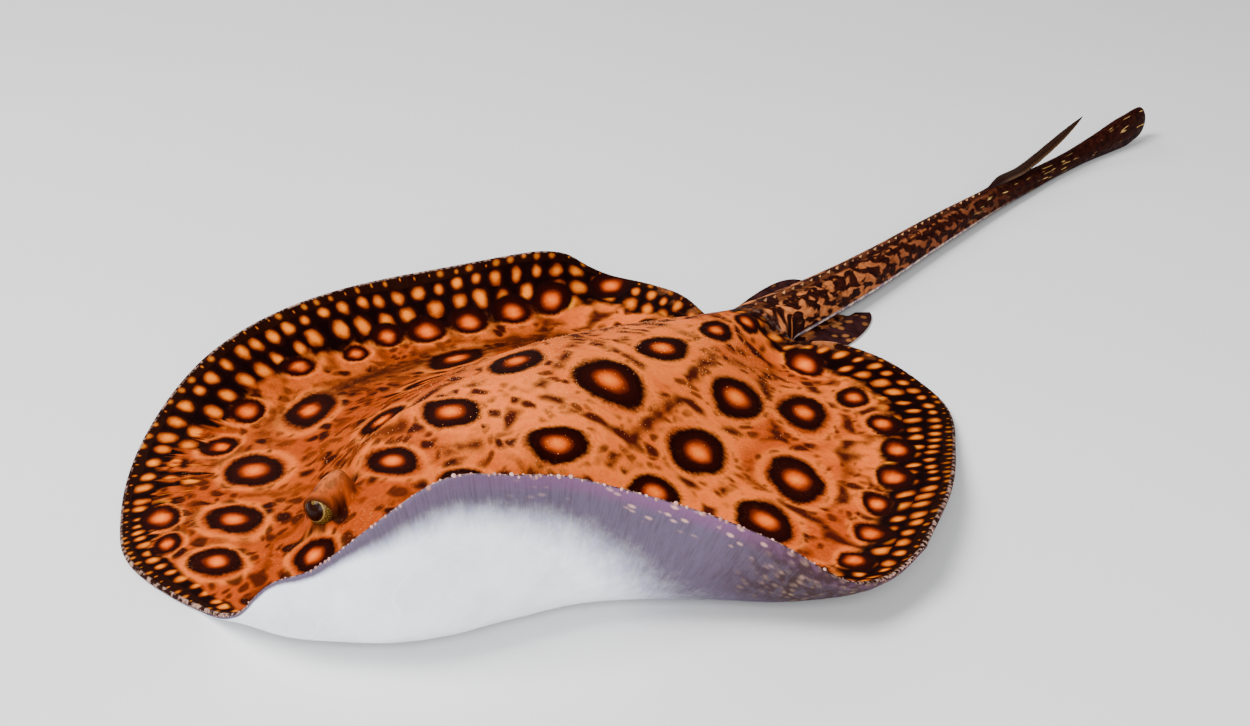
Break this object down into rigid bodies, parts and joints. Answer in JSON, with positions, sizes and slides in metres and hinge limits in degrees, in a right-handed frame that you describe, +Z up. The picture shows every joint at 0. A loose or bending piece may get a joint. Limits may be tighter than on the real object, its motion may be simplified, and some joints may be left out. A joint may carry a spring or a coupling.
{
  "type": "freshwater stingray",
  "caption": "Freshwater stingray at life size, lying on its belly with one side of its round disc folded up, a still model of the whole animal.",
  "frame": {"origin": "on the floor, under the middle of the bounding box of the whole animal in its pose", "axes": "+Y toward the tip of the tail, +X toward the animal's left, where the folded side is, +Z up"},
  "size_m": [0.2276, 0.5162, 0.053],
  "materials": {
    "back_skin": "satin living skin, orange brown with dark rings",
    "pelvic_skin": "satin living skin, near black with small yellow spots",
    "tail_skin": "satin living skin, dark brown with lighter blotches",
    "sting": "satin dentine",
    "eye": "wet cornea over an olive gold iris"
  },
  "bodies": {
    "root": {"head": "back_skin", "trunk": "back_skin", "pectoral_fin_left": "back_skin", "pectoral_fin_right": "back_skin", "pelvic_fin_left": "pelvic_skin", "pelvic_fin_right": "pelvic_skin", "tail_base": "tail_skin", "tail_middle": "tail_skin", "tail_end": "tail_skin", "tail_sting": "sting", "eye_left": "eye", "eye_right": "eye"}
  },
  "joints": []
}
